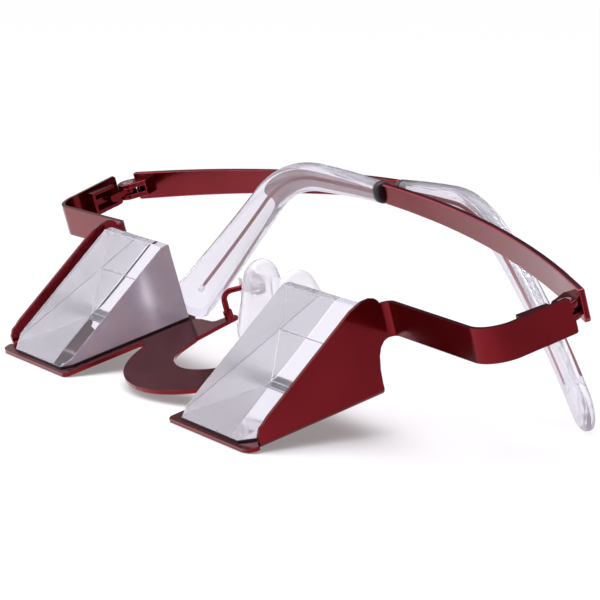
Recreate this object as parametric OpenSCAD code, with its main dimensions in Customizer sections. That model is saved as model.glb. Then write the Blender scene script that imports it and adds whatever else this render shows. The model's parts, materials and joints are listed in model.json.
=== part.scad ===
// Belay glasses, folded and lying on their front edge as on a table top.
// One sheet of bent metal carries two glass prisms; two temples fold behind it.
// The front is drawn level (x to its right, y to the rear, z up from the glass)
// and is then tipped forward and lifted so that its front edge rests on z = 0.

/* [View] */
// Piece to draw

/* [Prisms] */
// Width of each prism from side to side
prism_w = 21.65; // [18:0.05:26]
// Length of the prism base from front edge to rear face
prism_l = 23.73; // [18:0.01:30]
// Height of the flat top over the base
prism_h = 12.95; // [9:0.05:15]
// Depth of the narrow flat top
prism_flat = 1.3; // [0.6:0.1:3]
// Lean of the rear face, forward at the top
rear_lean = 0.17; // [0:0.01:1]
// Space between the two prisms at the nose
nose_gap = 40.56; // [36:0.02:48]
// Cut at the inner front corner of the glass
cut_in = 1.3; // [0.5:0.1:3]
// Cut at the outer front corner of the glass
cut_out = 2.6; // [0.5:0.1:4]
// Thickness of the black mirror coat under the glass
coat_t = 0.25; // [0.1:0.05:0.5]

/* [Front sheet] */
// Thickness of the metal sheet
sheet_t = 0.65; // [0.5:0.05:1]
// Sheet left showing in front of the glass
margin_front = 0.9; // [0.5:0.1:3]
// Sheet left showing behind the glass
margin_rear = 1.0; // [0.5:0.1:3]
// Sheet left showing beside the glass at the nose
margin_nose = 1.9; // [1.5:0.1:4]
// Room between the glass and the upright side flange
flange_gap = 1.2; // [0.6:0.1:3]
// Height of the flange edge over the slope of the glass
flange_over = 1.15; // [0.5:0.05:3]
// Inside radius of the bend along the foot of the flange
foot_r = 0.5; // [0.3:0.1:0.8]
// How far the bridge's centre lies in front of the glass's rear edge
bridge_y = 2.5; // [1.5:0.1:3.5]
// How far the notch's centre lies in front of the glass's rear edge
notch_y = 3.2; // [2:0.1:4]
// Front edge radius of the bridge
bridge_r = 18.2; // [17:0.1:19]
// Radius of the nose notch in the bridge
notch_r = 9.3; // [8.5:0.1:9.8]
// Upward crease of the two rear tabs, in degrees
crease_deg = 6; // [2:1:10]
// Inside radius of that crease
crease_r = 2.0; // [1:0.1:4]

/* [Side strip] */
// Height of the side strip
strip_h = 5.33; // [4:0.01:6.5]
// Lower edge of the strip over the glass base
strip_z = 7.11; // [6.5:0.01:8]
// Inside radius of the bend at the flange
ra = 1.2; // [0.8:0.1:2]
// Length of the straight run across to the corner
run_l = 21.02; // [16:0.01:28]
// Backward lean of the run, in degrees
run_deg = 1.7; // [0:0.1:4]
// Inside radius of the corner bend
rb = 4.4; // [3:0.1:6]
// Turn of the corner bend, in degrees
turn_deg = 83.1; // [78:0.1:90]
// Length of the straight end piece
end_l = 9.43; // [8.5:0.01:12]
// Rise of the end piece over its length
end_rise = 0.45; // [0:0.05:0.8]

/* [Hinge] */
// Reach of the hinge axis past the corner bend
pin_u = 9.69; // [9.4:0.01:12]
// Distance of the hinge axis from the inner face of the end piece
pin_v = 2.66; // [2.5:0.01:4]
// Height of the middle of the hinge over the glass base
hinge_z = 10.2; // [9.6:0.05:10.6]
// Thickness of the middle tongue
tongue_t = 1.0; // [0.8:0.05:1.4]
// Thickness of each fork bar
bar_t = 0.85; // [0.7:0.05:1.1]
// Room above and below the tongue
tongue_play = 0.05; // [0.03:0.01:0.1]
// Outer radius of the fork bars
fork_r = 1.9; // [1.6:0.05:2.1]
// Outer radius of the tongue
tongue_r = 1.25; // [1.1:0.05:1.3]
// Radius of the hinge screw
screw_r = 0.6; // [0.5:0.05:0.7]
// Radial room of the tongue on the screw
screw_play = 0.04; // [0.02:0.01:0.08]

/* [Temples] */
// Fold of the right temple as it lies, in degrees
fold_right = 71.9; // [0:0.1:74]
// Fold of the left temple as it lies, in degrees
fold_left = 68.5; // [0:0.1:69]
// Distance of the temple middle plane from the hinge axis
temple_off = 2.66; // [2.5:0.01:3]
// Thickness of the temple strip
temple_t = 0.95; // [0.7:0.05:1.2]
// Height of the strip at the hinge
temple_h0 = 5.05; // [4:0.05:6]
// Height of the strip at the plastic tip
temple_h1 = 3.4; // [2.5:0.05:4]
// Height of the temple middle line at the hinge axis
temple_z = 10.0; // [9.5:0.05:10.5]
// Front end of the strip, ahead of the hinge axis
temple_front = 0.37; // [0.2:0.01:0.5]
// Straight length before the curve begins
straight_l = 3; // [2.8:0.1:8]
// Radius of the first curve
r_one = 202.0; // [150:0.2:400]
// Distance from the hinge axis to the mouth of the tip
mouth_l = 71.2; // [60:0.1:85]
// Radius of the second curve, inside the tip
r_two = 137.6; // [100:0.2:300]
// Distance from the hinge axis to the ear bend
ear_l = 89.1; // [80:0.1:100]
// Length of the ear bend
ear_len = 16.4; // [12:0.1:30]
// Droop of the ear bend, in degrees
ear_deg = 41.2; // [30:0.1:50]
// Full length from the hinge axis to the end of the tip
temple_l = 139.6; // [125:0.1:150]
// Rise of the right temple, in degrees
rise_right = 3.07; // [0:0.01:5]
// Rise of the left temple, in degrees
rise_left = 2.13; // [0:0.01:5]

/* [Temple tips] */
// Height of the tip at its mouth
tip_h0 = 3.45; // [3:0.05:4.5]
// Height of the tip near its end
tip_h1 = 7.9; // [5:0.05:10]
// Thickness of the tip
tip_t = 3.2; // [2.6:0.05:4]
// Height of the wire core inside the tip
core_h = 1.4; // [1:0.05:2]
// Thickness of the wire core
core_t = 0.8; // [0.6:0.05:1]
// Distance from the end of the core to the end of the tip
core_short = 10.5; // [6:0.1:20]
// Air bubble left past the end of the core
bubble = 1.0; // [0.4:0.1:2]

/* [Nose pads] */
// Distance of the pad axis from the middle
pad_x = 8.8; // [8.4:0.1:9.2]
// Distance of the pad axis behind the glass
pad_y = 7.2; // [6.8:0.1:8]
// Height of the pad axis over the glass base
pad_z = 5.1; // [4.7:0.1:5.4]
// Splay of the pads, wider to the rear, in degrees
pad_splay = 5; // [3:1:12]
// Slant of the pads, closer at the top, in degrees
pad_slant = 10; // [7:1:13]
// Lean of the pads, lower ends to the front, in degrees
pad_lean = 2; // [0:1:6]
// Radius of the pad's upper end
pad_r0 = 3.1; // [2.8:0.1:3.2]
// Radius of the pad's two lower corners
pad_r1 = 3.7; // [3.4:0.1:3.9]
// How far the pad's lower corners hang below its axis
pad_hang = 6.2; // [5.8:0.1:6.8]
// Thickness of the soft pad
pad_t = 2.4; // [2:0.1:3]
// Radius of the wire of the pad arms
wire_r = 0.48; // [0.4:0.02:0.6]
// Radius of the bend in the pad arm
wire_bend = 1.5; // [1.2:0.1:2]
// Radius of the small pad screw
pad_screw_r = 0.4; // [0.3:0.05:0.5]

/* [Standing] */
// Forward tip of the front as it lies, in degrees
tilt_deg = 15.7; // [10:0.1:20]
// Shift that brings the middle of the whole over the origin
shift_y = -3.67; // [-8:0.01:4]

/* [Hidden] */
$fn = 48;
x_in = nose_gap / 2;
x_out = x_in + prism_w;
fl_in = x_out + flange_gap;
fl_out = fl_in + sheet_t;
z_low = -(coat_t + sheet_t);
y_front = -(prism_l + margin_front);
y_apex = -rear_lean - prism_flat;
lift = -y_front * sin(tilt_deg) - z_low * cos(tilt_deg);
slope = prism_h / (y_apex + prism_l);
strip_top = strip_z + strip_h;
y_bend = 1.64;
plate_in = x_in - margin_nose;
cax = fl_out + ra;
end_deg = turn_deg - run_deg;
fork_h = tongue_t + 2 * tongue_play + 2 * bar_t;
bar_z0 = hinge_z - fork_h / 2;
bar_z1 = hinge_z + fork_h / 2 - bar_t;
RAD = 180 / PI;
phi_one = (mouth_l - straight_l) / r_one * RAD;
jx = temple_off - r_one + r_one * cos(phi_one);
jy = straight_l + r_one * sin(phi_one);
ear_r = ear_len / ear_deg * RAD;
crease_x = 9.9;
crease_y = -4.2;
tab_x = x_in - 0.96;
tab_y = -0.5;
crease_dir = atan2(tab_y - crease_y, tab_x - crease_x);
crease_len = norm([tab_y - crease_y, tab_x - crease_x]);
lap = 0.5;
foot_front = y_front + 2.23;
foot_rear = -0.9;

RED = "#8a1f2b";
GLASS = "#c9c6dc";
CLEAR = "#e8e4f0";

// Tips the level front forward and lifts it onto its front edge
module seat() {
  translate([0, shift_y, lift]) rotate([tilt_deg, 0, 0]) children();
}

// Turns a right-hand piece into its left-hand twin
module hand(s) {
  if (s > 0) children();
  else mirror([1, 0, 0]) children();
}

// Frame at the corner bend: x along the end piece, y inboard
module at_end() {
  translate([cax, y_bend, 0]) rotate(-run_deg)
    translate([run_l, ra + sheet_t + rb, 0]) rotate(turn_deg) children();
}

// Frame on the hinge axis, turned back to the axes of the front
module at_pin() {
  at_end() translate([pin_u, -rb + pin_v, 0]) rotate(-end_deg) children();
}

// Points of an arc about a centre
function arc(c, r, a0, a1, n) =
  [for (i = [0:n]) let (a = a0 + (a1 - a0) * i / n)
    [c[0] + r * cos(a), c[1] + r * sin(a)]];

// A point of the wing measured from its first corner
function wing_at(p) =
  [cax + p[0] * cos(run_deg) + p[1] * sin(run_deg),
   y_bend - p[0] * sin(run_deg) + p[1] * cos(run_deg)];

// A point of the wing measured from its second corner
function end_at(p) = wing_at(
  [run_l + p[0] * cos(turn_deg) - p[1] * sin(turn_deg),
   ra + sheet_t + rb + p[0] * sin(turn_deg) + p[1] * cos(turn_deg)]);

// Height of the flange beside the sloping glass
function flange_at(y) = (prism_l + y) * slope + flange_over;

// Front sheet

// Right half of the flat plate and the bridge, in plan
module plate_plan() {
  foot_x = fl_in - foot_r + 0.05;
  polygon(concat(
    [[plate_in + 0.7, y_front], [x_out, y_front],
     [fl_out - 0.6, y_front + 0.45], [fl_out, y_front + 1.4],
     [fl_out, foot_front - 0.2], [foot_x, foot_front - 0.05],
     [foot_x, foot_rear], [x_out - 0.1, 0.1],
     [x_out - 2.2, margin_rear - 0.1], [x_out - 4.4, margin_rear],
     [x_in - 0.2, margin_rear], [x_in - 0.7, 0.5], [tab_x, tab_y],
     [crease_x, crease_y]],
    arc([0, -notch_y], notch_r, -32, -90, 13),
    [[-0.5, -notch_y - notch_r], [-0.5, -bridge_y - bridge_r]],
    arc([0, -bridge_y], bridge_r, -90, -26.5, 24),
    [[plate_in - 0.7, -10.2], [plate_in - 0.1, -10.8],
     [plate_in, y_front + 0.6]]));
}

// Section of the bend that turns the plate up into the flange
module foot_section() {
  c = [fl_in - foot_r, foot_r - coat_t];
  polygon(concat(
    [[c[0] - lap, z_low + 0.05]], arc(c, foot_r + sheet_t, -82, -8, 20),
    [[fl_out - 0.05, c[1] + lap], [fl_in + 0.05, c[1] + lap]],
    arc(c, foot_r, -8, -82, 20), [[c[0] - lap, -coat_t - 0.05]]));
}

// Plan of the wing: flange, corner, run, corner and end piece
module wing_plan() {
  polygon(concat(
    [[fl_out, foot_front]],
    arc([cax, y_bend], ra, 180, 90 - run_deg, 16),
    [for (p = arc([0, 0], rb + sheet_t, -90 - turn_deg, -90, 24)) end_at(p)],
    [end_at([end_l, -rb - sheet_t]), end_at([end_l, -rb])],
    [for (p = arc([0, 0], rb, -90, -90 - turn_deg, 24)) end_at(p)],
    arc([cax, y_bend], ra + sheet_t, 90 - run_deg, 180, 16),
    [[fl_in, foot_front]]));
}

// The same wing seen from the side
module wing_side() {
  f = foot_front;
  g = end_rise / end_l;
  e0 = end_at([0, -rb])[1];
  k = sin(end_deg);
  polygon([[f, foot_r - coat_t - 0.05], [f, 1.0], [f + 0.6, 2.1],
    [f + 1.3, flange_at(f + 1.3) - 0.2], [f + 2.2, flange_at(f + 2.2)],
    [-3.3, flange_at(-3.3)], [-2.2, flange_at(-2.2) - 0.25],
    [-1.1, prism_h + 0.82], [0.3, prism_h + 0.82], [1.1, prism_h + 0.5],
    [1.5, prism_h], [y_bend, strip_top], [e0, strip_top],
    [e0 + (end_l - 0.65) * k, strip_top + g * end_l],
    [e0 + (end_l - 0.35) * k, strip_top + g * end_l - 0.3],
    [e0 + (end_l - 0.35) * k, strip_z + g * end_l + 2.7],
    [e0 + (end_l - 0.1) * k, strip_z + g * end_l + 2.3],
    [e0 + end_l * k, strip_z + g * end_l + 0.35],
    [e0 + (end_l - 0.35) * k, strip_z + g * end_l],
    [e0, strip_z], [y_bend, strip_z], [0.95, strip_z - 0.2],
    [0.2, strip_z - 0.9], [-0.35, strip_z - 2.1], [-0.75, 3],
    [foot_rear, 1.0], [foot_rear, foot_r - coat_t - 0.05]]);
}

module wing() {
  intersection() {
    linear_extrude(prism_h + 3) wing_plan();
    translate([fl_in - 1, 0, 0]) rotate([90, 0, 90])
      linear_extrude(run_l + 12) wing_side();
  }
  translate([0, foot_rear - 0.03, 0]) rotate([90, 0, 0])
    linear_extrude(foot_rear - foot_front - 0.06) foot_section();
}

// Plan of the rear tab, measured from its crease
module tab_plan() {
  w = crease_len;
  polygon([[0.5, -lap], [w - 0.5, -lap], [w - 0.3, 0.1], [w + 0.2, 0.8],
    [w - 1.8, 2.0], [5.3, 3.3], [4.75, 3.9], [4.65, 6.5], [4.1, 7.2],
    [3.2, 7.5], [2.9, 7.0], [2.0, 4.26], [0.3, 0.1]]);
}

// Section of the crease and of the tab that it raises
module tab_section() {
  c = [lap / 2, crease_r];
  d = crease_deg;
  far = [9 * cos(d), 9 * sin(d)];
  p0 = arc(c, crease_r + sheet_t, -90, -90 + d, 4);
  p1 = arc(c, crease_r, -90 + d, -90, 4);
  polygon(concat([[-lap - 1, -sheet_t]], p0, [p0[4] + far, p1[0] + far], p1,
    [[-lap - 1, 0]]));
}

// Frame at the crease line, and the one lying on the raised tab
module at_crease() {
  translate([crease_x, crease_y, -coat_t]) rotate(crease_dir) children();
}

module on_tab() {
  at_crease() translate([0, lap / 2, crease_r]) rotate([crease_deg, 0, 0])
    translate([0, -lap / 2, -crease_r]) children();
}

module tab() at_crease() intersection() {
  rotate([90, 0, 90]) linear_extrude(crease_len + 2) tab_section();
  translate([0, 0, -3]) linear_extrude(6) tab_plan();
}

module front_frame() color(RED) seat() {
  translate([0, 0, z_low]) linear_extrude(sheet_t) {
    plate_plan();
    mirror([1, 0]) plate_plan();
  }
  for (s = [1, -1]) hand(s) {
    wing();
    tab();
  }
}

// Glass

// Plan of a prism with its two cut front corners
module prism_plan() {
  polygon([[x_in, 0], [x_out, 0], [x_out, cut_out - prism_l],
    [x_out - cut_out, -prism_l], [x_in + cut_in, -prism_l],
    [x_in, cut_in * 1.4 - prism_l]]);
}

module prism(s) color(GLASS) seat() hand(s) intersection() {
  linear_extrude(prism_h + 1) prism_plan();
  translate([x_in - 1, 0, 0]) rotate([90, 0, 90])
    linear_extrude(prism_w + 2)
      polygon([[-prism_l, 0], [y_apex, prism_h], [-rear_lean, prism_h],
        [0, 0]]);
}

module mirror_coat(s) color("#101012") seat() hand(s)
  translate([0, 0, -coat_t]) linear_extrude(coat_t) prism_plan();

// Nose pads

// Frame on the rocking axis of a pad: x outboard, y along the axis
module at_pad() {
  translate([pad_x, pad_y, pad_z]) rotate([0, 0, -pad_splay])
    rotate([0, -pad_slant, 0]) children();
}

// Bent wire from the tab up and back to the front wall of the pad box
module pad_arm(s) color(RED) seat() hand(s) {
  fx = 10.5;
  fy = 2.5;
  top = pad_z - 0.07;
  tx = pad_x - 0.1;
  ty = pad_y - 1.35;
  dir = atan2(tx - fx, ty - fy);
  reach = norm([tx - fx, ty - fy]);
  difference() {
    union() {
      on_tab() translate([2.9, 6.0, 0]) cylinder(r = 0.75, h = 1.5);
      translate([fx, fy, 0.9]) {
        cylinder(r = wire_r + 0.02, h = top - 0.85 - wire_bend);
        rotate(-dir) translate([0, 0, top - 0.9 - wire_bend])
          translate([0, wire_bend, 0]) rotate([0, 90, 0]) rotate(-90)
            rotate_extrude(angle = -90) translate([wire_bend, 0]) circle(wire_r);
        rotate(-dir) translate([0, wire_bend - 0.1, top - 0.9])
          rotate([-90, 0, 0]) cylinder(r = wire_r - 0.02, h = reach - wire_bend + 0.1);
      }
    }
    at_pad() translate([-5, -1.6, -5]) cube(10);
  }
}

// Small open box that holds the stem of the pad
module pad_box(s) color("#b8b8be") seat() hand(s) at_pad() difference() {
  translate([-0.6, -1.6, -1.5]) cube([1.85, 3.2, 3.0]);
  translate([-1, -1.15, -2]) cube([1.85, 2.3, 4]);
  translate([0, -2, 0]) rotate([-90, 0, 0]) cylinder(r = pad_screw_r, h = 4);
}

// Screw across the box, the axis on which the pad rocks
module pad_screw(s) color("#b8b8be") seat() hand(s) at_pad() difference() {
  union() {
    translate([0, -1.5, 0]) rotate([-90, 0, 0]) cylinder(r = pad_screw_r, h = 3.1);
    translate([0, 1.6, 0]) rotate([-90, 0, 0]) cylinder(r = 0.65, h = 0.35);
  }
  translate([-1, 1.78, -0.1]) cube([2, 1, 0.2]);
}

// Plate moulded into the pad, with the stem that enters the box
module insert_shape(grow) {
  rotate([-pad_lean, 0, 0]) translate([-2.7 - grow, -1.9 - grow, -3.4 - grow])
    cube([0.7 + 2 * grow, 3.8 + 2 * grow, 5.0 + 2 * grow]);
  translate([-2.3, -0.8 - grow, -1.1 - grow])
    cube([2.0, 1.6 + 2 * grow, 2.2 + 2 * grow]);
}

module pad_insert(s) color(CLEAR) seat() hand(s) at_pad() difference() {
  union() {
    insert_shape(0);
    translate([0, -0.8, 0]) rotate([-90, 0, 0]) cylinder(r = 0.75, h = 1.6);
    translate([-1.4, -0.8, -0.75]) cube([1.4, 1.6, 1.5]);
  }
  translate([0, -2, 0]) rotate([-90, 0, 0])
    cylinder(r = pad_screw_r + 0.04, h = 4);
}

// Soft pad: a rounded drop, thinner towards its rim
module pad_drop(in) {
  rotate([-pad_lean, 0, 0]) hull() {
    translate([0, 0.07 * pad_r0, 0.58 * pad_r0]) rotate([0, 90, 0])
      cylinder(r = pad_r0 - in, h = 0.01);
    translate([0, -0.42 * pad_r1, -pad_hang]) rotate([0, 90, 0])
      cylinder(r = pad_r1 - in, h = 0.01);
    translate([0, 0.49 * pad_r1, -0.96 * pad_hang]) rotate([0, 90, 0])
      cylinder(r = pad_r1 * 1.02 - in, h = 0.01);
  }
}

module nose_pad(s) color(CLEAR) seat() hand(s) at_pad() difference() {
  hull() {
    translate([-pad_t / 2, 0, 0]) pad_drop(pad_t * 0.42, $fn = 32);
    translate([-pad_t * 1.05, 0, 0]) pad_drop(0, $fn = 32);
    translate([-pad_t * 1.5, 0, 0]) pad_drop(pad_t * 0.46, $fn = 32);
  }
  insert_shape(0);
}

// Hinges

// Bracket on the inner face of the end piece, with the middle tongue
module hinge_bracket(s) color(RED) seat() hand(s) {
  difference() {
    union() {
      at_end() translate([0, -rb, 0]) {
        translate([2.0, 0, hinge_z - 2]) cube([4.9, 0.55, 4]);
        translate([2.0, 0, hinge_z + 1.45]) cube([4.9, 2.4, 0.55]);
        translate([2.0, 0, hinge_z - 2]) cube([4.9, 2.4, 0.55]);
        translate([2.0, 0, hinge_z - 2]) cube([0.55, 2.4, 4]);
        translate([2.3, 0.3, hinge_z - tongue_t / 2])
          cube([4.9, 1.6, tongue_t]);
        translate([5.0, pin_v - tongue_r, hinge_z - tongue_t / 2])
          cube([pin_u - 5.0, tongue_r * 1.6, tongue_t]);
      }
      at_pin() translate([0, 0, hinge_z - tongue_t / 2])
        cylinder(r = tongue_r, h = tongue_t);
    }
    at_pin() translate([0, 0, hinge_z - 3])
      cylinder(r = screw_r + screw_play, h = 6);
  }
}

// One bar of the fork, in plan, from the axis to the temple
module bar_plan() {
  polygon([[-0.9, 1.67], [0.9, 3.35], [temple_off - temple_t / 2, 3.35],
    [temple_off - temple_t / 2, -0.2], [fork_r - 0.1, -0.55],
    [0, 0]]);
}

// Fork on the temple, two bars that hold the tongue between them
module hinge_fork(s) color(RED) seat() hand(s) at_pin()
  rotate(s > 0 ? fold_right : fold_left) difference() {
    union() {
      for (z = [bar_z0, bar_z1]) translate([0, 0, z]) {
        cylinder(r = fork_r, h = bar_t);
        linear_extrude(bar_t) bar_plan();
      }
      translate([temple_off - temple_t / 2 - 0.55, 0.85, bar_z0])
        cube([0.55, 2.5, fork_h]);
      translate([0.9, 2.75, bar_z0])
        cube([temple_off - temple_t / 2 - 0.9, 0.6, fork_h]);
    }
    translate([0, 0, 0]) cylinder(r = screw_r, h = 20);
    translate([0, 0, bar_z1 + bar_t - 0.4]) cylinder(r = 1.05, h = 1);
  }

// Slotted screw, the hinge axis
module hinge_screw(s) color("#b9a9ac") seat() hand(s) at_pin()
  rotate(s > 0 ? fold_right : fold_left) difference() {
    union() {
      translate([0, 0, bar_z0]) cylinder(r = screw_r, h = fork_h - 0.4);
      translate([0, 0, bar_z1 + bar_t - 0.4]) cylinder(r = 1.05, h = 0.4);
    }
    translate([-2, -0.12, bar_z1 + bar_t - 0.2]) cube([4, 0.24, 1]);
  }

// Temples

// Turn, place and height along the middle line of a temple
function turn(s) = s <= straight_l ? 0 : s <= mouth_l
  ? (s - straight_l) / r_one * RAD
  : phi_one + (s - mouth_l) / r_two * RAD;
function plan(s) = s <= straight_l ? [temple_off, s] : s <= mouth_l
  ? [temple_off - r_one + r_one * cos(turn(s)),
     straight_l + r_one * sin(turn(s))]
  : [jx + r_two * (cos(turn(s)) - cos(phi_one)),
     jy + r_two * (sin(turn(s)) - sin(phi_one))];
function dip(t, up) = up - ear_deg * min(max((t - ear_l) / ear_len, 0), 1);
function run(t, up) = t <= ear_l ? t * cos(up) : t <= ear_l + ear_len
  ? ear_l * cos(up) + ear_r * (sin(up) - sin(dip(t, up)))
  : ear_l * cos(up) + ear_r * (sin(up) - sin(up - ear_deg))
    + (t - ear_l - ear_len) * cos(up - ear_deg);
function rise(t, up) = t <= ear_l ? t * sin(up) : t <= ear_l + ear_len
  ? ear_l * sin(up) + ear_r * (cos(dip(t, up)) - cos(up))
  : ear_l * sin(up) + ear_r * (cos(up - ear_deg) - cos(up))
    + (t - ear_l - ear_len) * sin(up - ear_deg);
// A point a outboard of the middle line and b above it
function spot(t, up, a, b) = let (s = run(t, up), h = turn(s), p = plan(s),
    d = dip(t, up))
  [p[0] + a * cos(h) + b * sin(d) * sin(h),
   p[1] + a * sin(h) - b * sin(d) * cos(h),
   temple_z + rise(t, up) + b * cos(d)];

// Skin over rings of points that follow the middle line
module skin(ts, up, ring) {
  n = len(ring(ts[0]));
  m = len(ts);
  pts = [for (t = ts) for (q = ring(t)) spot(t, up, q[0], q[1])];
  polyhedron(points = pts, faces = concat(
    [[for (j = [n - 1:-1:0]) j]],
    [[for (j = [0:n - 1]) (m - 1) * n + j]],
    [for (i = [0:m - 2]) for (j = [0:n - 1]) let (k = (j + 1) % n)
      [i * n + j, (i + 1) * n + k, (i + 1) * n + j]],
    [for (i = [0:m - 2]) for (j = [0:n - 1]) let (k = (j + 1) % n)
      [i * n + j, i * n + k, (i + 1) * n + k]]));
}

// Wire core, a flat ribbon that the strip draws down to
module core(up, far, play) {
  n = 18;
  first = mouth_l - 0.4;
  last = temple_l - core_short;
  x = core_t / 2 + play;
  z = core_h / 2 + play;
  skin(concat([for (i = [0:n]) first + (last - first) * i / n],
    far > 0 ? [last + far] : []), up,
    function (t) [[x, -z], [x, z], [-x, z], [-x, -z]]);
}

// Curved strip with its taper cut from a true cylinder shell
module temple(s) color(RED) seat() hand(s) at_pin()
  rotate(s > 0 ? fold_right : fold_left) {
    up = s > 0 ? rise_right : rise_left;
    zm = temple_z + mouth_l * sin(up);
    ym = jy - 0.05;
    intersection() {
      union() {
        translate([temple_off - temple_t / 2, -temple_front, 0])
          cube([temple_t, straight_l + temple_front, 30]);
        translate([temple_off - r_one, straight_l, 0])
          rotate_extrude(angle = phi_one, $fn = 720)
            translate([r_one - temple_t / 2, 0]) square([temple_t, 30]);
      }
      translate([-60, 0, 0]) rotate([90, 0, 90]) linear_extrude(80)
        polygon([[-temple_front + 0.3, temple_z - temple_h0 / 2],
          [ym, zm - temple_h1 / 2], [ym, zm + temple_h1 / 2],
          [-temple_front, temple_z + temple_h0 / 2],
          [-temple_front, temple_z - temple_h0 / 2 + 0.5]]);
    }
    core(up, 0, 0);
  }

// Clear tip over the core, bent down behind the ear
function tip_half(t) = let (r = tip_h1 / 2, e = temple_l - r,
    w = tip_h0 / 2 + (tip_h1 - tip_h0) / 2 * min((t - mouth_l) / (e - mouth_l), 1))
  t <= e ? w : r * sqrt(max(1 - pow((t - e) / r, 2), 0.0004));
function tip_thick(t) = let (r = tip_h1 / 2, e = temple_l - r)
  tip_t / 2 * (t <= e ? min(1, 0.86 + 0.14 * (t - mouth_l) / 12)
    : pow(max(1 - pow((t - e) / r, 2), 0.0004), 0.32));

module temple_tip(s) color(CLEAR) seat() hand(s) at_pin()
  rotate(s > 0 ? fold_right : fold_left) {
    up = s > 0 ? rise_right : rise_left;
    e = temple_l - tip_h1 / 2;
    difference() {
      skin(concat([for (i = [0:18]) mouth_l + 0.1 + (e - mouth_l - 0.1) * i / 18],
          [for (a = [18:18:72]) e + tip_h1 / 2 * sin(a)],
          [temple_l - 0.02]), up,
        function (t) [for (i = [0:15]) let (a = 11.25 + 22.5 * i, w = tip_half(t),
            d = tip_thick(t), c = cos(a), n = sin(a))
          [d * sign(c) * pow(abs(c), 0.7), w * sign(n) * pow(abs(n), 0.7)]]);
      core(up, bubble, 0.03);
    }
  }

front_frame();
prism(-1);  // prism_left
prism(1);  // prism_right
mirror_coat(-1);  // mirror_coat_left
mirror_coat(1);  // mirror_coat_right
pad_arm(-1);  // pad_arm_left
pad_arm(1);  // pad_arm_right
pad_box(-1);  // pad_box_left
pad_box(1);  // pad_box_right
pad_screw(-1);  // pad_screw_left
pad_screw(1);  // pad_screw_right
pad_insert(-1);  // pad_insert_left
pad_insert(1);  // pad_insert_right
nose_pad(-1);  // nose_pad_left
nose_pad(1);  // nose_pad_right
hinge_bracket(-1);  // hinge_bracket_left
hinge_bracket(1);  // hinge_bracket_right
hinge_fork(-1);  // hinge_fork_left
hinge_fork(1);  // hinge_fork_right
hinge_screw(-1);  // hinge_screw_left
hinge_screw(1);  // hinge_screw_right
temple(-1);  // temple_left
temple(1);  // temple_right
temple_tip(-1);  // temple_tip_left
temple_tip(1);  // temple_tip_right
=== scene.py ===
import bpy, bmesh, json, math
from mathutils import Matrix, Vector


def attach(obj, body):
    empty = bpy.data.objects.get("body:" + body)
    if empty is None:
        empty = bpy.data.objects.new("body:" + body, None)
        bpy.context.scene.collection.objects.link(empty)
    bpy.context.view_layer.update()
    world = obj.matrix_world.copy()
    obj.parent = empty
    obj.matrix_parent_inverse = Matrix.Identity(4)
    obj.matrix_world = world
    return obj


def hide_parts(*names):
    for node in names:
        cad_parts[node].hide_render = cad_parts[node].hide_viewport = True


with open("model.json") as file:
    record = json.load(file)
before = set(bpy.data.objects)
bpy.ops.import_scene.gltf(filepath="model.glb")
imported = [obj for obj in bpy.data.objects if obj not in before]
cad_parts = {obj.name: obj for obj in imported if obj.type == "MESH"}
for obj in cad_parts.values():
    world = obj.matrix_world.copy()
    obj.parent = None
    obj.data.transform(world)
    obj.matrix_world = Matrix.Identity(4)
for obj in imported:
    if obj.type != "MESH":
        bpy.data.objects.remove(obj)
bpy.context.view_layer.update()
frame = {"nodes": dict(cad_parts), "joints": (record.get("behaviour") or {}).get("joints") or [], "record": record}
mm = 0.001      # pieces are worked out in millimetres and made in metres

# The view: the glasses lie folded on a white bench and are seen from the
# wearer's right front, a little above, through a long lens.
eye = bpy.data.cameras.new("view")
eye.sensor_width = 36
eye.lens = 172.30
eye.dof.use_dof = False
camera = bpy.data.objects.new("view", eye)
right = Vector((0.490339, 0.871531, -0.000812))
up = Vector((-0.153617, 0.087344, 0.984263))
back = Vector((0.857886, -0.482498, 0.17671))
place = Vector((394.6775, -216.0571, 93.9836)) * mm
camera.matrix_world = (Matrix.Translation(place)
                       @ Matrix((right, up, back)).transposed().to_4x4())
bpy.context.scene.collection.objects.link(camera)
bpy.context.scene.camera = camera
bpy.context.scene.view_settings.view_transform = "Standard"


# The bench: a sheet of white paper on a table. It renders white where nothing shades it and keeps the soft shadow
# of the glasses. Metal and glass see it too, but in reflections it carries a painted dark band to the right of the
# glasses.
class Wire:
    """One output of a node. Arithmetic on it adds Math nodes."""

    def __init__(self, finish, out):
        self.finish, self.out = finish, out

    def sum(self, kind, a, b):
        return self.finish.add("Math", {"operation": kind}, {0: a, 1: b})

    def __add__(self, b): return self.sum("ADD", self, b)
    def __radd__(self, b): return self.sum("ADD", b, self)
    def __sub__(self, b): return self.sum("SUBTRACT", self, b)
    def __rsub__(self, b): return self.sum("SUBTRACT", b, self)
    def __mul__(self, b): return self.sum("MULTIPLY", self, b)
    def __rmul__(self, b): return self.sum("MULTIPLY", b, self)
    def __pow__(self, b): return self.sum("POWER", self, b)
    def at_most(self, b): return self.sum("MINIMUM", self, b)
    def at_least(self, b): return self.sum("MAXIMUM", self, b)

    def twin(self, name):
        """Another output of the same node."""
        return Wire(self.finish, self.out.node.outputs[name])


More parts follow.
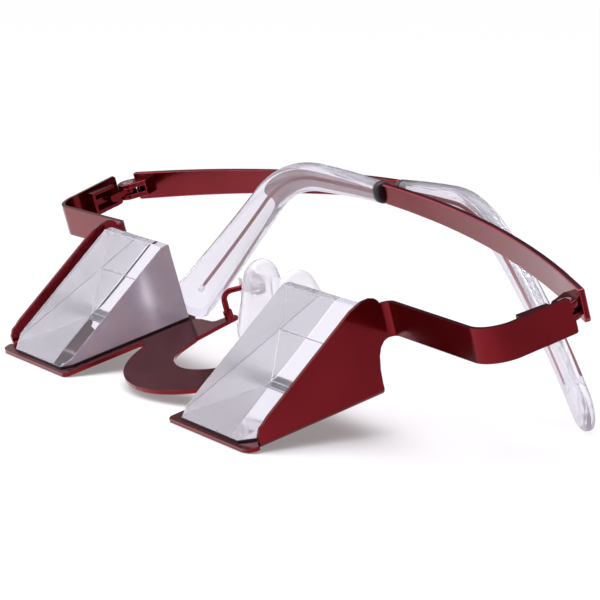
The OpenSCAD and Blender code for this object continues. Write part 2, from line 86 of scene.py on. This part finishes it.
class Finish:
    """A material, or the world, built node by node."""

    def __init__(self, name, world=False):
        kept = bpy.data.worlds if world else bpy.data.materials
        self.mat = kept.new(name)
        self.mat.use_nodes = True
        self.tree = self.mat.node_tree
        self.tree.nodes.clear()

    def add(self, kind, settings=None, sockets=None, out=0):
        """A node: its settings first, then its sockets' values or links."""
        node = self.tree.nodes.new("ShaderNode" + kind)
        for key, value in (settings or {}).items():
            setattr(node, key, value)
        for key, value in (sockets or {}).items():
            if isinstance(value, Wire):
                self.tree.links.new(value.out, node.inputs[key])
            else:
                if isinstance(value, tuple) and node.inputs[key].type == "RGBA":
                    value = (*value, 1)
                node.inputs[key].default_value = value
        return Wire(self, node.outputs[out])

    def place(self):
        return self.add("TexCoord", out="Object")

    def dot(self, a, b):
        return self.add("VectorMath", {"operation": "DOT_PRODUCT"},
                        {0: a, 1: tuple(b)}, out="Value")

    def noise(self, at, scale, detail=2.0, rough=0.5):
        """Grey clouds, scale of them to the metre."""
        return self.add("TexNoise", None, {"Vector": at, "Scale": scale,
                                           "Detail": detail, "Roughness": rough})

    def span(self, value, low, high, a, b):
        """From a, where the value is low, to b, where it is high."""
        return self.add("MapRange", None, {0: value, 1: low, 2: high, 3: a, 4: b})

    def blend(self, share, a, b):
        return self.add("Mix", {"data_type": "RGBA"}, {0: share, 6: a, 7: b}, out=2)

    def bump(self, height, depth, strength):
        return self.add("Bump", None, {"Height": height, "Distance": depth,
                                       "Strength": strength})

    def done(self, surface, kind="Material"):
        node = self.tree.nodes.new("ShaderNodeOutput" + kind)
        self.tree.links.new(surface.out, node.inputs["Surface"])
        return self.mat


bench_reach = 3.0                   # metres to each side of the glasses
dark_reflection_start, dark_reflection_full = 0.0, 0.035  # metres to the right in the view
dark_reflection_fade_start, dark_reflection_fade_full = 0.09, 0.12
glow_start, glow_full = 0.06, 0.25  # metres from the glasses, all round
bench_finish = Finish("bench white")
ray = bench_finish.add("LightPath")
seen = (ray.twin("Is Camera Ray") + ray.twin("Is Glossy Ray")
        + ray.twin("Is Transmission Ray"))
spot = bench_finish.place()
across = bench_finish.dot(spot, right)
far = bench_finish.add("VectorMath", {"operation": "LENGTH"}, {0: spot}, out="Value")
# painted reflection: for glossy rays only, the bench's glow turns dark to the view's right and partly lifts back
# further out
painted_dark_reflection = (bench_finish.span(across, dark_reflection_start, dark_reflection_full, 0, 1)
        - bench_finish.span(across, dark_reflection_fade_start, dark_reflection_fade_full, 0, 0.6))
painted_dark_reflection = painted_dark_reflection * (1 - ray.twin("Is Camera Ray")) * (1 - ray.twin("Is Transmission Ray"))
paper = bench_finish.add("BsdfDiffuse", None, {"Color": (0.90, 0.88, 0.89)})
glow = bench_finish.add("Emission", None, {
    "Color": bench_finish.blend(painted_dark_reflection, (1, 1, 1), (0.20, 0.18, 0.20)), "Strength": 1.0})
glow_share = seen.at_most(1.0) * bench_finish.span(far, glow_start, glow_full, 0.25, 0.95)
bench_mat = bench_finish.done(bench_finish.add("MixShader", None, {
    0: glow_share, 1: paper, 2: glow}))
shape = bmesh.new()
bmesh.ops.create_grid(shape, x_segments=4, y_segments=4, size=bench_reach)
mesh = bpy.data.meshes.new("bench")
shape.to_mesh(mesh)
shape.free()
bench = bpy.data.objects.new("bench", mesh)
mesh.materials.append(bench_mat)
bpy.context.scene.collection.objects.link(bench)

# The light: a dark room with a bright ceiling and a white wall low on the
# left, one broad soft box above the glasses and a weaker one ahead of them.
# Seen through glass, the whole room is bright.
room = Finish("surround", world=True)
way = room.add("TexCoord", out="Generated")


def patch(aim, edge, core):
    """1 within a cone about aim, 0 outside; edge and core are cosines."""
    near = room.dot(way, Vector(aim).normalized())
    return room.span(near, edge, core, 0, 1)


ceiling = patch((-0.05, -0.10, 0.99), 0.50, 0.72)
wall = patch((-0.95, -0.22, 0.12), 0.82, 0.92)
through = room.add("LightPath").twin("Is Transmission Ray") * 0.94
bpy.context.scene.world = room.done(room.add("Background", None, {
    "Color": room.blend(ceiling.at_least(wall).at_least(through),
                        (0.07, 0.055, 0.07), (1.0, 0.99, 1.06)),
    "Strength": 1.0}), "World")


def lamp(name, at, width, watts):
    """A square soft box at a place in metres, turned to the glasses."""
    data = bpy.data.lights.new(name, "AREA")
    data.size = width
    data.energy = watts
    obj = bpy.data.objects.new(name, data)
    beam = Vector((0, 0, 0.01)) - Vector(at)
    obj.matrix_world = (Matrix.Translation(at)
                        @ beam.to_track_quat("-Z", "Y").to_matrix().to_4x4())
    bpy.context.scene.collection.objects.link(obj)


lamp("overhead box", (-0.04, -0.08, 0.75), 1.1, 5.6)
lamp("side box", (-0.25, -0.8, 0.35), 0.6, 2.0)

# Front sheet: one piece of 0.65 mm steel, cut, pierced and folded, then lacquered wine red. Its broken edges carry
# a brighter red, partly a thinner coat and partly a painted highlight.
solid = frame["nodes"]
bodies = frame["record"]["behaviour"]["bodies"]
body_of = {node: body for body, nodes in bodies.items() for node in nodes}
sheet_edge = 0.2    # how far the sheet's edges are broken, in mm


def lacquer(name, deep, bright):
    """Clear gloss over a pigmented coat with fine metal flakes."""
    finish = Finish(name)
    at = finish.place()
    cloud = finish.noise(at, 90.0)
    grain = finish.noise(at, 5200.0)
    peel = finish.noise(at, 900.0, 3.0, 0.6)
    tone = finish.blend(finish.span(cloud, 0.35, 0.65, 0, 1), deep, bright)
    flakes = finish.span(grain, 0.56, 0.76, 0, 0.12)
    tone = finish.blend(flakes, tone, (0.36, 0.05, 0.08))
    return finish.done(finish.add("BsdfPrincipled", None, {
        "Base Color": tone, "Metallic": 0.95,
        "Roughness": finish.span(cloud + grain * 0.3, 0.4, 0.9, 0.17, 0.23),
        "Coat Weight": 0.18, "Coat Roughness": 0.06,
        "Normal": finish.bump(peel, 0.00002, 0.12)}))


red = lacquer("wine red lacquer", (0.16, 0.003, 0.007), (0.19, 0.005, 0.010))
# brighter red on all broken edges: partly a thinner coat, partly a painted highlight along them
red_edge_thin_coat_and_highlight = lacquer("wine red on edges, thin coat and painted highlight", (0.36, 0.03, 0.05), (0.42, 0.045, 0.065))


def dressed(node, mats, edge, angle=28.0, cut=None):
    """A solid's surface with its edges broken, as one smooth-shaded piece.

    The last of mats goes on the broken edges. A cut is a point and a
    direction, and what lies past the point is left off."""
    weld = 2e-7                 # metres between corners that are one
    flat = math.radians(1.2)
    shape = bmesh.new()
    shape.from_mesh(solid[node].data)
    bmesh.ops.remove_doubles(shape, verts=shape.verts, dist=weld)
    bmesh.ops.dissolve_degenerate(shape, dist=weld, edges=shape.edges)
    if cut:
        got = bmesh.ops.bisect_plane(
            shape, geom=shape.verts[:] + shape.edges[:] + shape.faces[:],
            plane_co=cut[0], plane_no=cut[1], clear_outer=True)
        rim = [e for e in got["geom_cut"] if isinstance(e, bmesh.types.BMEdge)]
        bmesh.ops.holes_fill(shape, edges=rim)
    bmesh.ops.dissolve_limit(shape, angle_limit=flat, use_dissolve_boundaries=False,
                             verts=shape.verts, edges=shape.edges)
    mesh = bpy.data.meshes.new(node + "_finished")
    shape.to_mesh(mesh)
    shape.free()
    for mat in mats:
        mesh.materials.append(mat)
    piece = bpy.data.objects.new(mesh.name, mesh)
    bpy.context.scene.collection.objects.link(piece)
    for face in mesh.polygons:
        face.use_smooth = True
    bevel = piece.modifiers.new("broken edges", "BEVEL")
    bevel.width = edge * mm
    bevel.segments = 3
    bevel.limit_method = "ANGLE"
    bevel.angle_limit = math.radians(angle)
    bevel.miter_outer = "MITER_ARC"
    bevel.material = len(mats) - 1
    weight = piece.modifiers.new("flat faces", "WEIGHTED_NORMAL")
    weight.keep_sharp = True
    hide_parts(node)
    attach(piece, body_of[node])
    return piece


front = dressed("front_frame", [red, red_edge_thin_coat_and_highlight], sheet_edge)

# Prisms: optical glass, polished on the front slope, the top flat and the
# rear, finely ground on both sides and on the broken edges, with the base
# silvered and backed black.
polish = Finish("polished glass")
wipe = polish.noise(polish.place(), 160.0, 3.0)
glass = polish.done(polish.add("BsdfPrincipled", None, {
    "Base Color": (0.995, 0.99, 1.0), "Transmission Weight": 1.0, "IOR": 1.52,
    "Roughness": polish.span(wipe, 0.45, 0.75, 0.0, 0.015)}))
grind = Finish("ground glass")
at = grind.place()
frost = grind.noise(at, 4200.0)
mottle = grind.noise(at, 260.0, 3.0)
ground = grind.done(grind.add("BsdfPrincipled", None, {
    "Base Color": grind.blend(grind.span(mottle, 0.35, 0.65, 0, 1),
                              (0.84, 0.81, 0.97), (0.99, 0.91, 0.96)),
    "Transmission Weight": 0.80, "IOR": 1.52, "Roughness": 0.34,
    "Normal": grind.bump(frost, 0.00001, 0.25)}))
mirror = Finish("silvered base")
haze = mirror.noise(mirror.place(), 220.0)
silver = mirror.done(mirror.add("BsdfPrincipled", None, {
    "Base Color": (0.985, 0.975, 1.0), "Metallic": 1.0,
    "Roughness": mirror.span(haze, 0.4, 0.7, 0.02, 0.05)}))
backing = Finish("black backing paint")
brush = backing.noise(backing.place(), 700.0, 3.0)
paint = backing.done(backing.add("BsdfPrincipled", None, {
    "Base Color": backing.blend(brush, (0.004, 0.004, 0.005), (0.014, 0.012, 0.014)),
    "Roughness": backing.span(brush, 0.3, 0.7, 0.35, 0.55),
    "Normal": backing.bump(brush, 0.00002, 0.4)}))
joint_of = {joint["name"]: joint for joint in frame["joints"]}
plate_up = -Vector(joint_of["right_temple_fold"]["axis"]).normalized()
prism_edge = 0.12
ground_slot, silver_slot = 1, 2
base_gap = 0.03     # the silvered base stands this far off its black backing
base_depth = 0.02   # corners this close to the lowest one belong to the base
for side in ("left", "right"):
    prism = dressed("prism_" + side, [glass, ground, silver], prism_edge, angle=20)
    prism.modifiers["broken edges"].material = ground_slot
    base = min(vert.co.dot(plate_up) for vert in prism.data.vertices)
    for face in prism.data.polygons:
        face.use_smooth = False
        if face.normal.dot(plate_up) < -0.9:
            face.material_index = silver_slot
        elif abs(face.normal.x) > 0.95:
            face.material_index = ground_slot
    for vert in prism.data.vertices:
        if vert.co.dot(plate_up) < base + base_depth * mm:
            vert.co += plate_up * base_gap * mm
    coat = solid["mirror_coat_" + side]
    coat.data.materials.clear()
    coat.data.materials.append(paint)

# Hinges: bracket and fork are folded and pressed from the same steel and
# lacquered with the front; the screws are bare steel.
bracket_edge, fork_edge, screw_edge = 0.07, 0.09, 0.04
turnery = Finish("screw steel")
turned = turnery.noise(turnery.place(), 2600.0)
steel = turnery.done(turnery.add("BsdfPrincipled", None, {
    "Base Color": turnery.blend(turned, (0.42, 0.36, 0.37), (0.62, 0.57, 0.58)),
    "Metallic": 1.0, "Roughness": turnery.span(turned, 0.3, 0.7, 0.22, 0.4)}))
for side in ("left", "right"):
    dressed("hinge_bracket_" + side, [red, red_edge_thin_coat_and_highlight], bracket_edge)
    dressed("hinge_fork_" + side, [red, red_edge_thin_coat_and_highlight], fork_edge)
    dressed("hinge_screw_" + side, [steel], screw_edge)

# Temples: a curved strip on each side, lacquered with the front. It draws
# down to a thin round core that runs on inside the clear sleeve.
mouth = 71.2            # from the hinge pin to the sleeve's mouth
ear = 89.1              # to the start of the bend behind the ear
ear_run = 16.4
ear_angle = math.radians(41.2)
temple_end = 139.6
strip_radius = 202.0    # the strip's curve, seen from above
sleeve_radius = 137.6   # and the sleeve's
straight = 3.0
offset = 2.66           # the strip's middle outboard of the pin
pin_height = 0.2        # the hinge's own middle over the strip's
folded = {"right": math.radians(71.9), "left": math.radians(68.5)}
lift = {"right": math.radians(3.07), "left": math.radians(2.13)}
bow = (mouth - straight) / strip_radius
strip_short = 0.45      # the strip stops this far before the mouth
core_lead = 0.6         # and the core starts this far before it
core_radius = 0.3
core_tip_radius = 0.15
core_end = temple_end - 7.9     # it stops well short of the sleeve's end
core_steps, core_points = 90, 12


def along(side, t, a=0.0, b=0.0):
    """A point at t along a temple, a outboard of its middle and b above."""
    climb = lift[side]
    bend = ear_run / ear_angle
    drop = climb - ear_angle * min(max((t - ear) / ear_run, 0), 1)
    if t <= ear:
        s, z = t * math.cos(climb), t * math.sin(climb)
    elif t <= ear + ear_run:
        s = ear * math.cos(climb) + bend * (math.sin(climb) - math.sin(drop))
        z = ear * math.sin(climb) + bend * (math.cos(drop) - math.cos(climb))
    else:
        last = climb - ear_angle
        s = (ear * math.cos(climb) + bend * (math.sin(climb) - math.sin(last))
             + (t - ear - ear_run) * math.cos(last))
        z = (ear * math.sin(climb) + bend * (math.cos(last) - math.cos(climb))
             + (t - ear - ear_run) * math.sin(last))
    if s <= straight:
        turn, x, y = 0.0, offset, s
    elif s <= mouth:
        turn = (s - straight) / strip_radius
        x = offset - strip_radius + strip_radius * math.cos(turn)
        y = straight + strip_radius * math.sin(turn)
    else:
        turn = bow + (s - mouth) / sleeve_radius
        x = (offset - strip_radius + strip_radius * math.cos(bow)
             + sleeve_radius * (math.cos(turn) - math.cos(bow)))
        y = (straight + strip_radius * math.sin(bow)
             + sleeve_radius * (math.sin(turn) - math.sin(bow)))
    spot = Vector((x + a * math.cos(turn) + b * math.sin(drop) * math.sin(turn),
                   y + a * math.sin(turn) - b * math.sin(drop) * math.cos(turn),
                   z - pin_height + b * math.cos(drop)))
    spot = Matrix.Rotation(folded[side], 3, "Z") @ spot
    if side == "left":
        spot.x = -spot.x
    tilt = math.atan2(-plate_up.y, plate_up.z)
    pin = Vector(joint_of[side + "_temple_fold"]["pos_m"])
    return pin + Matrix.Rotation(tilt, 3, "X") @ spot * mm


def round_ring(side, t, r, points):
    """A ring of radius r about the temple's middle at t."""
    return [along(side, t, r * math.cos(k * math.tau / points),
                  r * math.sin(k * math.tau / points)) for k in range(points)]


def loft(name, rings, mat):
    """A closed smooth skin over rings of points."""
    shape = bmesh.new()
    rows = [[shape.verts.new(p) for p in ring] for ring in rings]
    for low, high in zip(rows, rows[1:]):
        for k in range(len(low)):
            j = (k + 1) % len(low)
            shape.faces.new((low[k], low[j], high[j], high[k]))
    shape.faces.new(rows[0][::-1])
    shape.faces.new(rows[-1])
    bmesh.ops.recalc_face_normals(shape, faces=shape.faces)
    mesh = bpy.data.meshes.new(name)
    shape.to_mesh(mesh)
    shape.free()
    mesh.materials.append(mat)
    for face in mesh.polygons:
        face.use_smooth = len(face.vertices) == 4
    piece = bpy.data.objects.new(name, mesh)
    bpy.context.scene.collection.objects.link(piece)
    return piece


for side in ("left", "right"):
    node = "temple_" + side
    end = along(side, mouth - strip_short)
    outward = (along(side, mouth) - along(side, mouth - 1)).normalized()
    strip = dressed(node, [red, red_edge_thin_coat_and_highlight], sheet_edge, cut=(end, outward))
    rings = []
    for k in range(core_steps + 1):
        t = mouth - core_lead + (core_end - mouth + core_lead) * k / core_steps
        r = core_radius if k < core_steps else core_tip_radius
        rings.append(round_ring(side, t, r, core_points))
    core = loft("core_" + side, rings, red)
    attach(core, body_of[node])

# Sleeves: soft clear plastic moulded over the core, flattened, widest behind the ear, with a dark ring of painted
# shade at the mouth and a small bubble past the core.
tip_start, tip_width, tip_thick = 3.45, 7.9, 3.2
tip_nose = tip_width / 2        # the length of the rounded end
nose_start = temple_end - tip_nose
sleeve_past = 0.1               # the sleeve starts this far past the mouth
thin_share, thin_run = 0.86, 12.0   # it thickens over its first 12 mm
squareness = 0.8                # an oval would be 1
sleeve_steps, nose_steps, sleeve_points = 70, 18, 40
nose_least = 0.0004             # keeps the last rings open
# the painted shade ring's rows: place past the mouth, and how far outside the sleeve
shade_ring_rows = ((-0.05, -0.3), (0.0, 0.02), (1.25, 0.02), (1.45, -0.3))
bubble_half, bubble_radius, bubble_past = 0.9, 0.55, 0.7
bubble_rows, bubble_points = 12, 16


def outline_share(finish, blend):
    """0 where a piece faces the viewer, 1 at its outline."""
    return finish.add("LayerWeight", None, {"Blend": blend}, out="Facing")


def tinted_shadow(finish, body, tint):
    """A clear plastic that lets tinted light through to what is behind."""
    thin = finish.add("BsdfTransparent", None, {"Color": tint})
    shade = finish.add("LightPath").twin("Is Shadow Ray")
    return finish.done(finish.add("MixShader", None, {0: shade, 1: body, 2: thin}))


air = Finish("trapped air")
rim = outline_share(air, 0.5)
film = air.noise(air.place(), 1500.0)
# The base colour greys towards the outline: painted shade for the dark edge of the air pocket.
pocket = air.done(air.add("BsdfPrincipled", None, {
    "Base Color": air.blend(rim ** 2.0, (0.98, 0.97, 1.0), (0.50, 0.46, 0.54)),
    "Transmission Weight": 0.6, "IOR": 1.1,
    "Roughness": air.span(film, 0.3, 0.7, 0.05, 0.15)}))
sleeve_finish = Finish("clear sleeve")
wave = sleeve_finish.noise(sleeve_finish.place(), 120.0)
rim = sleeve_finish.span(outline_share(sleeve_finish, 0.35) ** 2.6, 0.1, 0.8, 0, 1)
# The base colour darkens towards the outline: painted shade for the dark edges of the clear sleeve.
clear = tinted_shadow(sleeve_finish, sleeve_finish.add("BsdfPrincipled", None, {
    "Base Color": sleeve_finish.blend(rim, (0.85, 0.84, 0.89), (0.30, 0.28, 0.33)),
    "Transmission Weight": 0.8, "IOR": 1.42,
    "Roughness": sleeve_finish.span(wave, 0.4, 0.7, 0.0, 0.03)}), (0.95, 0.93, 0.96))
# The dark ring at the mouth is painted shade: an opaque band standing for the shade where the strip ends inside
# the sleeve.
shade_ring_finish = Finish("painted shade ring")
shade_mottle = shade_ring_finish.noise(shade_ring_finish.place(), 900.0)
dark = shade_ring_finish.done(shade_ring_finish.add("BsdfPrincipled", None, {
    "Base Color": shade_ring_finish.blend(shade_mottle, (0.006, 0.004, 0.006), (0.03, 0.012, 0.018)),
    "Roughness": shade_ring_finish.span(shade_mottle, 0.3, 0.7, 0.3, 0.5)}))


def sleeve_ring(side, t, grow=0.0):
    """The flattened oval of the sleeve at t, grown outwards."""
    widening = min((t - mouth) / (nose_start - mouth), 1)
    w = tip_start / 2 + (tip_width - tip_start) / 2 * widening
    d = tip_thick / 2 * min(1, thin_share + (1 - thin_share) * (t - mouth) / thin_run)
    if t > nose_start:
        round_off = max(1 - ((t - nose_start) / tip_nose) ** 2, nose_least)
        w, d = tip_nose * math.sqrt(round_off), tip_thick / 2 * round_off ** 0.4
    ring = []
    for k in range(sleeve_points):
        c, n = math.cos(k * math.tau / sleeve_points), math.sin(k * math.tau / sleeve_points)
        ring.append(along(side, t, (d + grow) * math.copysign(abs(c) ** squareness, c),
                          (w + grow) * math.copysign(abs(n) ** squareness, n)))
    return ring


for side in ("left", "right"):
    node = "temple_tip_" + side
    start = mouth + sleeve_past
    stops = [start + (nose_start - start) * k / sleeve_steps for k in range(sleeve_steps + 1)]
    stops += [nose_start + tip_nose * math.sin(math.pi / 2 * k / nose_steps)
              for k in range(1, nose_steps)]
    sleeve = loft("sleeve_" + side, [sleeve_ring(side, t) for t in stops], clear)
    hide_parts(node)
    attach(sleeve, body_of[node])
    rings = []
    for k in range(1, bubble_rows):
        phi = math.pi * k / bubble_rows
        t = core_end + bubble_past - bubble_half * math.cos(phi)
        rings.append(round_ring(side, t, bubble_radius * math.sin(phi), bubble_points))
    bubble = loft("bubble_" + side, rings, pocket)
    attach(bubble, body_of[node])
    rings = [sleeve_ring(side, mouth + t, grow) for t, grow in shade_ring_rows]
    shade_ring = loft("shade_ring_" + side, rings, dark)
    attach(shade_ring, body_of[node])

# Nose pads: clear silicone drops on a hard clear plate, each held by a small
# open box and a cross screw at the end of a bent, lacquered wire.
pad_r0, pad_r1, pad_hang, pad_thick = 3.1, 3.7, 6.2, 2.4
pad_lean, pad_slant = math.radians(2), math.radians(10)
pad_inward = 1.05 * pad_thick   # from the rocking pin to the drop's middle
# three circles, as across, up and radius; the drop's outline is their skin
pad_circles = ((0.07 * pad_r0, 0.58 * pad_r0, pad_r0),
               (-0.42 * pad_r1, -pad_hang, pad_r1),
               (0.49 * pad_r1, -0.96 * pad_hang, pad_r1 * 1.02))
pad_points, pad_rows = 96, 13
pad_inset, pad_fullness = 0.45, 0.8     # how far and how fully its rim rounds in
insert_edge, wire_edge, box_edge, cross_edge = 0.12, 0.03, 0.06, 0.03
soft = Finish("clear silicone")
swirl = soft.noise(soft.place(), 520.0, 3.0, 0.6)
rim = soft.span(outline_share(soft, 0.35) ** 1.8, 0.1, 0.9, 0, 1)
# The base colour turns beige towards the outline: painted shade at the edges of the clear drop.
silicone = tinted_shadow(soft, soft.add("BsdfPrincipled", None, {
    "Base Color": soft.blend(rim, (0.955, 0.945, 0.975), (0.74, 0.67, 0.64)),
    "Transmission Weight": 0.72, "IOR": 1.28,
    "Roughness": soft.span(swirl, 0.35, 0.7, 0.02, 0.12),
    "Normal": soft.bump(swirl, 0.0001, 0.3)}), (0.95, 0.92, 0.93))
hard = Finish("clear insert")
speck = hard.noise(hard.place(), 700.0)
rim = outline_share(hard, 0.4)
# The base colour greys towards the outline: painted shade at the edges of the clear plate.
insert_clear = tinted_shadow(hard, hard.add("BsdfPrincipled", None, {
    "Base Color": hard.blend(rim ** 2.0, (0.97, 0.96, 0.98), (0.78, 0.74, 0.76)),
    "Transmission Weight": 1.0, "IOR": 1.12,
    "Roughness": hard.span(speck, 0.4, 0.7, 0.03, 0.12)}), (0.93, 0.91, 0.94))
# Near-white and barely metallic: the colour is lifted past bare nickel as painted light, making up for the shade
# the box sits in inside the pad; the cross screw shares it.
plated = Finish("nickel lightened as painted light")
worn = plated.noise(plated.place(), 1800.0)
lightened_nickel = plated.done(plated.add("BsdfPrincipled", None, {
    "Base Color": plated.blend(worn, (0.84, 0.81, 0.82), (0.95, 0.93, 0.95)),
    "Metallic": 0.15, "Roughness": plated.span(worn, 0.3, 0.7, 0.32, 0.5)}))


def drop_outline():
    """The skin round the three circles, as evenly spaced points."""
    skin = []
    for k in range(360):
        n = Vector((math.cos(math.radians(k)), math.sin(math.radians(k))))
        c = max(pad_circles, key=lambda c: c[0] * n.x + c[1] * n.y + c[2])
        skin.append(Vector((c[0] + c[2] * n.x, c[1] + c[2] * n.y)))
    steps = [(skin[k] - skin[k - 1]).length for k in range(360)]
    total, spots, walked, want = sum(steps), [], 0.0, 0.0
    for k in range(360):
        while walked <= want < walked + steps[k]:
            spots.append(skin[k - 1].lerp(skin[k], (want - walked) / steps[k]))
            want += total / pad_points
        walked += steps[k]
    return spots


def drop_rings(centre, rear, out):
    """The drop from its nose side to its outer side, rounded at both."""
    spots = drop_outline()
    middle = sum(spots, Vector((0, 0))) / len(spots)
    rings = []
    for k in range(pad_rows):
        phi = math.pi * (k + 0.5) / pad_rows
        x = -pad_inward - pad_thick / 2 * math.cos(phi)
        inset = pad_thick * pad_inset * (1 - math.sin(phi) ** pad_fullness)
        ring = []
        for p in spots:
            q = p + (middle - p).normalized() * inset
            y = q.x * math.cos(pad_lean) + q.y * math.sin(pad_lean)
            z = q.y * math.cos(pad_lean) - q.x * math.sin(pad_lean)
            u = x * math.cos(pad_slant) - z * math.sin(pad_slant)
            v = z * math.cos(pad_slant) + x * math.sin(pad_slant)
            ring.append(centre + (out * u + rear * y + plate_up * v) * mm)
        rings.append(ring)
    return rings


for side in ("left", "right"):
    node = "nose_pad_" + side
    joint = joint_of[side + "_pad_rock"]
    rear = Vector(joint["axis"])
    out = rear.cross(plate_up) * (1 if side == "right" else -1)
    pad = loft("pad_drop_" + side, drop_rings(Vector(joint["pos_m"]), rear, out), silicone)
    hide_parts(node)
    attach(pad, body_of[node])
    dressed("pad_insert_" + side, [insert_clear], insert_edge)
    dressed("pad_arm_" + side, [red, red_edge_thin_coat_and_highlight], wire_edge)
    dressed("pad_box_" + side, [lightened_nickel], box_edge)
    dressed("pad_screw_" + side, [lightened_nickel], cross_edge)
